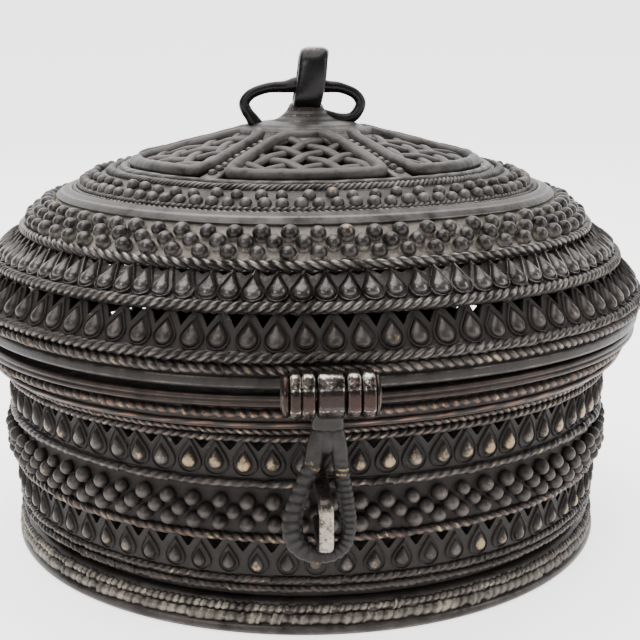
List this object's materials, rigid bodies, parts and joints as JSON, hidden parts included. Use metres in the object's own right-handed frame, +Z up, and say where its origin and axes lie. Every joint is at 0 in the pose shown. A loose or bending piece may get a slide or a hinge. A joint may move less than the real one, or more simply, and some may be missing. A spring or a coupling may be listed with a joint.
{
  "type": "lidded box",
  "caption": "Round lidded openwork box in cast brass, with rope, bead and drop bands, a lattice crown with a loop finial, a rear hinge and a front hasp over a staple.",
  "frame": {"origin": "The middle of the ground plane under the box, on the axis of the round body", "axes": "+Z up, the hasp at the front faces -Y, the lid's hinge is at the rear on +Y, +X to the viewer's right"},
  "size_m": [0.181, 0.202, 0.1291],
  "materials": {
    "foot_ring": "dark patina worn to pale brass on the braid",
    "foot_braid": "worn pale brass with dark gaps",
    "base_floor": "dark cast patina",
    "plinth": "dark cast patina",
    "plinth_rope": "dark patina",
    "base_drops_low": "dark patina, bellies worn to pale brass",
    "base_bead_band": "dark patina, dusty between the beads",
    "rope_below_beads": "copper-brown wear on dark patina",
    "rope_above_beads": "dark patina",
    "base_drops_high": "dark patina, bellies worn to pale brass",
    "base_rim": "copper-brown wear on dark patina",
    "rope_below_rim": "dark patina, lightly worn",
    "rim_wire": "copper-brown wear",
    "rim_rope": "copper-brown wear",
    "staple": "pale polished front, dark sides",
    "rear_knuckle_left": "handled brass, brown in the corners",
    "rear_knuckle_right": "handled brass, brown in the corners",
    "rear_hinge_pin": "dull metal",
    "lid_edge": "dark patina",
    "lid_edge_rope_low": "copper-brown wear on dark patina",
    "lid_edge_rope_high": "dark patina, lightly worn",
    "lid_drops_low": "dark patina, bellies worn to pale brass",
    "lid_waist": "dark patina with grey dust",
    "lid_waist_rope": "dark patina, lightly worn",
    "lid_drops_high": "burnished dark patina",
    "lid_bead_band": "burnished beads, grey dust between them",
    "lid_bead_rope": "dark patina with grey dust",
    "lid_shoulder": "dark patina with grey dust",
    "shoulder_strap": "smooth dusty patina",
    "shoulder_rope": "dark patina with grey dust",
    "shoulder_beads": "dark patina with grey dust",
    "crown_rope": "dark patina with grey dust",
    "crown_web": "dark patina with grey dust",
    "crown_ring": "smooth dusty patina",
    "lattice_panel_1": "dark patina with grey dust",
    "lattice_panel_2": "dark patina with grey dust",
    "lattice_panel_3": "dark patina with grey dust",
    "lattice_panel_4": "dark patina with grey dust",
    "lattice_panel_5": "dark patina with grey dust",
    "lattice_panel_6": "dark patina with grey dust",
    "apex_boss": "dark patina with grey dust",
    "finial_loop": "dark patina, worn to pale brass at the top",
    "finial_ear_left": "dark patina",
    "finial_ear_right": "dark patina",
    "rear_knuckle_middle": "handled brass, brown in the corners",
    "front_knuckle_left": "polished by handling, brown in the corners",
    "front_knuckle_right": "polished by handling, brown in the corners",
    "hasp_pin": "dull metal",
    "hasp_knuckle": "polished by handling, brown in the corners",
    "hasp_loop": "dark patina with small worn spots"
  },
  "bodies": {
    "base": {"foot_ring": "foot_ring", "foot_braid": "foot_braid", "base_floor": "base_floor", "plinth": "plinth", "plinth_rope": "plinth_rope", "base_drops_low": "base_drops_low", "base_bead_band": "base_bead_band", "rope_below_beads": "rope_below_beads", "rope_above_beads": "rope_above_beads", "base_drops_high": "base_drops_high", "base_rim": "base_rim", "rope_below_rim": "rope_below_rim", "rim_wire": "rim_wire", "rim_rope": "rim_rope", "staple": "staple", "rear_knuckle_left": "rear_knuckle_left", "rear_knuckle_right": "rear_knuckle_right", "rear_hinge_pin": "rear_hinge_pin"},
    "lid": {"lid_edge": "lid_edge", "lid_edge_rope_low": "lid_edge_rope_low", "lid_edge_rope_high": "lid_edge_rope_high", "lid_drops_low": "lid_drops_low", "lid_waist": "lid_waist", "lid_waist_rope": "lid_waist_rope", "lid_drops_high": "lid_drops_high", "lid_bead_band": "lid_bead_band", "lid_bead_rope": "lid_bead_rope", "lid_shoulder": "lid_shoulder", "shoulder_strap": "shoulder_strap", "shoulder_rope": "shoulder_rope", "shoulder_beads": "shoulder_beads", "crown_rope": "crown_rope", "crown_web": "crown_web", "crown_ring": "crown_ring", "lattice_panel_1": "lattice_panel_1", "lattice_panel_2": "lattice_panel_2", "lattice_panel_3": "lattice_panel_3", "lattice_panel_4": "lattice_panel_4", "lattice_panel_5": "lattice_panel_5", "lattice_panel_6": "lattice_panel_6", "apex_boss": "apex_boss", "finial_loop": "finial_loop", "finial_ear_left": "finial_ear_left", "finial_ear_right": "finial_ear_right", "rear_knuckle_middle": "rear_knuckle_middle", "front_knuckle_left": "front_knuckle_left", "front_knuckle_right": "front_knuckle_right", "hasp_pin": "hasp_pin"},
    "hasp": {"hasp_knuckle": "hasp_knuckle", "hasp_loop": "hasp_loop"}
  },
  "joints": [
    {"name": "lid_hinge", "type": "hinge", "parent": "base", "child": "lid", "pos_m": [0, 0.0964, 0.0597], "axis": [-1, 0, 0], "range_deg": [0, 105]},
    {"name": "hasp_swing", "type": "hinge", "parent": "lid", "child": "hasp", "pos_m": [0, -0.0952, 0.0611], "axis": [-1, 0, 0], "range_deg": [0, 150]}
  ]
}
